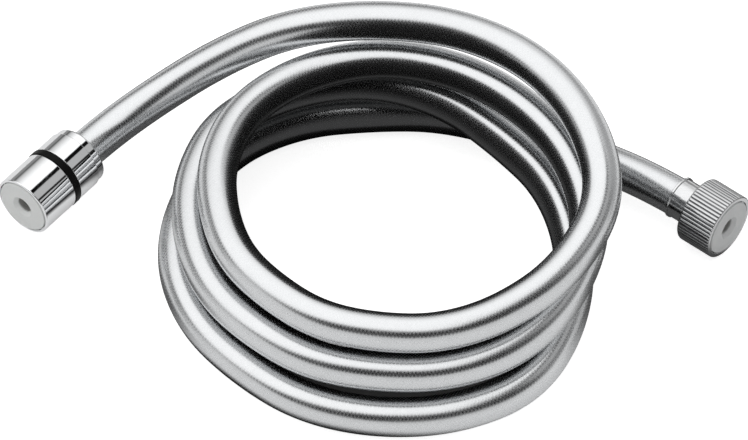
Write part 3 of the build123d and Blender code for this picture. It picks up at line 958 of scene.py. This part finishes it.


# A thin arc of painted shade lies on the floor, just inside the lowest front turn: dark paint, with
# the floor's glow taken away. From the front it darkens the gaps between the turns, as their deep
# shade would. From behind it shows as a loose arc inside the coil.
ARC_CENTRE = (0.009, -0.030)
FLOOR_GREY, PAINTED_SHADE_GREY = (0.75, 0.75, 0.75), (0.06, 0.06, 0.06)
floor_paint = Finish(
    "pale_floor",
    FLOOR_GREY,
    Roughness=0.9,
    Specular_IOR_Level=0.0,
    Emission_Strength=1.0,
)
floor_path = floor_paint.node("ShaderNodeLightPath", output="Is Camera Ray")
seen = floor_path.most(floor_path.also("Is Glossy Ray"))
seen = seen.most(floor_path.also("Is Transmission Ray"))
floor_x = floor_paint.parts(floor_paint.place())
from_coil = distance(floor_x, ARC_CENTRE)
painted_gap_shade = from_coil.ramp(0.0480, 0.0503) * from_coil.ramp(0.056, 0.062, 1, 0)
painted_gap_shade = painted_gap_shade * floor_x.also("Y").ramp(-0.060, -0.052, 1, 0)
painted_gap_shade = painted_gap_shade * floor_x.ramp(0.0435, 0.0455, 1, 0)
# The arc's painted shade: its colour is dark, and its glow is taken away
floor_paint.feed("Base Color", floor_paint.mix(painted_gap_shade, FLOOR_GREY, PAINTED_SHADE_GREY))
floor_paint.feed("Emission Color", (seen * 0.27 + floor_path * 0.58) * (1 - painted_gap_shade))
sheet_on_floor("floor", FLOOR_HALF, 0, floor_paint)

# The card paints the shade under the coil into the metal's reflections. It is whole under the coil
# and fades out behind it. It leaves the floor bare beyond the coil's rear edge, beside the swivel,
# and before the knurled nut's mouth.
CARD_HALF = 0.45
CARD_HEIGHT = 0.0002
CARD_CENTRE, CARD_FRONT = (0.0007, -0.026), (0.0007, -0.050)
BESIDE_SWIVEL = (-0.108, -0.004)
BEFORE_MOUTH = (0.140, -0.014)
card_paint = Finish("dark_card", (0.01, 0.01, 0.01), Roughness=0.9, Specular_IOR_Level=0.0)
card_x = card_paint.parts(card_paint.place())
card_y = card_x.also("Y")
from_middle = distance(card_x, CARD_CENTRE)
from_front = distance(card_x, CARD_FRONT)
under_coil = from_middle.ramp(0.074, 0.084, 1, 0).most(from_front.ramp(0.052, 0.064, 1, 0))
behind_coil = card_y.ramp(-0.08, -0.04) * card_x.ramp(-0.12, -0.09)
behind_coil = behind_coil * from_middle.ramp(0.25, 0.4, 1, 0)
behind_coil = behind_coil * distance(card_x, BESIDE_SWIVEL).ramp(0.016, 0.032) * 0.85
behind_coil = behind_coil * (1 - card_y.ramp(0.055, 0.075) * card_x.ramp(-0.07, -0.05))
behind_coil = behind_coil * distance(card_x, BEFORE_MOUTH).ramp(0.012, 0.018)
card_paint.feed("Alpha", under_coil.most(behind_coil))
card = sheet_on_floor("dark_card", CARD_HALF, CARD_HEIGHT, card_paint)

# The block is round, drawn out to the rear, with a top that rises to the rear. Its dark paints the
# shade inside the coil into the metal's reflections. Its rear foot glows a little, though it is no
# lamp, as painted light in those reflections, so that the lowest of the turns behind it stands
# apart from the floor.
BLOCK_R = 0.041
BLOCK_HEIGHT = 0.046
BLOCK_LIFT = 0.0005
BLOCK_STRETCH = 0.3
BLOCK_SLANT = 0.21
BLOCK_SLANT_FROM = -0.07
block_mesh = bpy.data.meshes.new("dark_block")
block_work = bmesh.new()
bmesh.ops.create_cone(
    block_work,
    cap_ends=True,
    segments=48,
    radius1=BLOCK_R,
    radius2=BLOCK_R,
    depth=BLOCK_HEIGHT,
    matrix=Matrix.Translation((*COIL_CENTRE, BLOCK_HEIGHT / 2 + BLOCK_LIFT)),
)
for corner in block_work.verts:
    corner.co.y += BLOCK_STRETCH * max(0.0, corner.co.y - COIL_CENTRE[1])
    if corner.co.z > BLOCK_HEIGHT / 2:
        corner.co.z += BLOCK_SLANT * max(0.0, corner.co.y - BLOCK_SLANT_FROM)
block_work.to_mesh(block_mesh)
block_work.free()
block_paint = Finish(
    "dark_block",
    (0.01, 0.01, 0.01),
    Roughness=0.9,
    Specular_IOR_Level=0.0,
    Emission_Strength=1.0,
)
block_x = block_paint.parts(block_paint.place())
foot_glow = block_x.also("Z").ramp(0.010, 0.030, 0.055, 0.0)
block_paint.feed("Emission Color", foot_glow * block_x.also("Y").ramp(-0.03, -0.01))
block_mesh.materials.append(block_paint.material)
block = added("dark_block", block_mesh)
for unseen in (card, block):
    unseen.visible_camera = False
    unseen.visible_diffuse = False
    unseen.visible_shadow = False
    unseen.visible_transmission = False

# The light comes from a wide dome. A direction in it is told by the spot where it meets a ceiling
# one unit up: how far right, how far back and how far out in all. Frontal is 1 straight in front.
studio = bpy.data.worlds.new("studio")
bpy.context.scene.world = studio
studio.use_nodes = True
sky = Bench(studio.node_tree)
east = sky.parts(sky.node("ShaderNodeTexCoord", output="Generated"))
north = east.also("Y")
above = east.also("Z").most(0.02)
right, back = east / above, north / above
level = (east * east + north * north) ** 0.5
outwards = level / above
frontal = (0 - north) / level.most(0.001)

# The broad soft light: sharp at its right edge, soft at its left, and dimmer towards the rear
panel = right.ramp(-2.4, -1.7) * right.ramp(0.38, 0.44, 1, 0)
panel = panel * (0 - back).ramp(0.42, 0.72, 1, 0) * back.ramp(1.2, 3.5, 1, 0)
panel_tone = 1.30 - back.ramp(0.6, 1.6) * 0.48

# The sides: dark close to the light's right edge and mid grey farther out, but bright there
# towards the rear, and grey again at the far left. Two dark bands, which follow the horizon, cross
# the right side.
bands = outwards.ramp(1.25, 1.35) * outwards.ramp(1.6, 1.7, 1, 0)
bands = bands + outwards.ramp(1.95, 2.05) * outwards.ramp(2.6, 2.8, 1, 0) * 0.8
bands = bands * frontal.ramp(-0.5, -0.25)
behind = back.ramp(0.60, 0.75)
right_side = right.ramp(0.60, 0.66, 0.005, 0.5) + outwards.ramp(2.8, 3.4, 0, 0.35)
right_rear = right.ramp(0.42, 1.2, 0.95, 0.45) * right.ramp(0.38, 0.42)
right_side = right_side * (1 - behind) + right_rear * behind
sides = right_side * (1 - bands * 0.95) + right.ramp(-3.6, -2.6, 0.35, 0)

# The front: dark up high and pale near the horizon. The rear: an even grey, low and straight behind
front = (frontal + (0 - east).ramp(0.0, 0.3) * 0.2).ramp(0.2, 0.45)
front_tone = outwards.ramp(2.1, 2.7, 0.003, 0.8)
rear = back.ramp(2.5, 4.5) * frontal.ramp(-0.97, -0.8, 1, 0)
surround = (sides * (1 - front) + front_tone * front) * (1 - rear * 0.95) + rear * 0.3
brightness = surround * (1 - panel) + panel * panel_tone

# The camera itself sees plain white beyond the floor
from_camera = sky.node("ShaderNodeLightPath", output="Is Camera Ray")
brightness = brightness * (1 - from_camera) + from_camera
world_light = sky.node(
    "ShaderNodeBackground", {}, {"Color": (1, 1, 1, 1), "Strength": brightness}
)
world_end = studio.node_tree.nodes.new("ShaderNodeOutputWorld")
studio.node_tree.links.new(world_light.socket, world_end.inputs["Surface"])
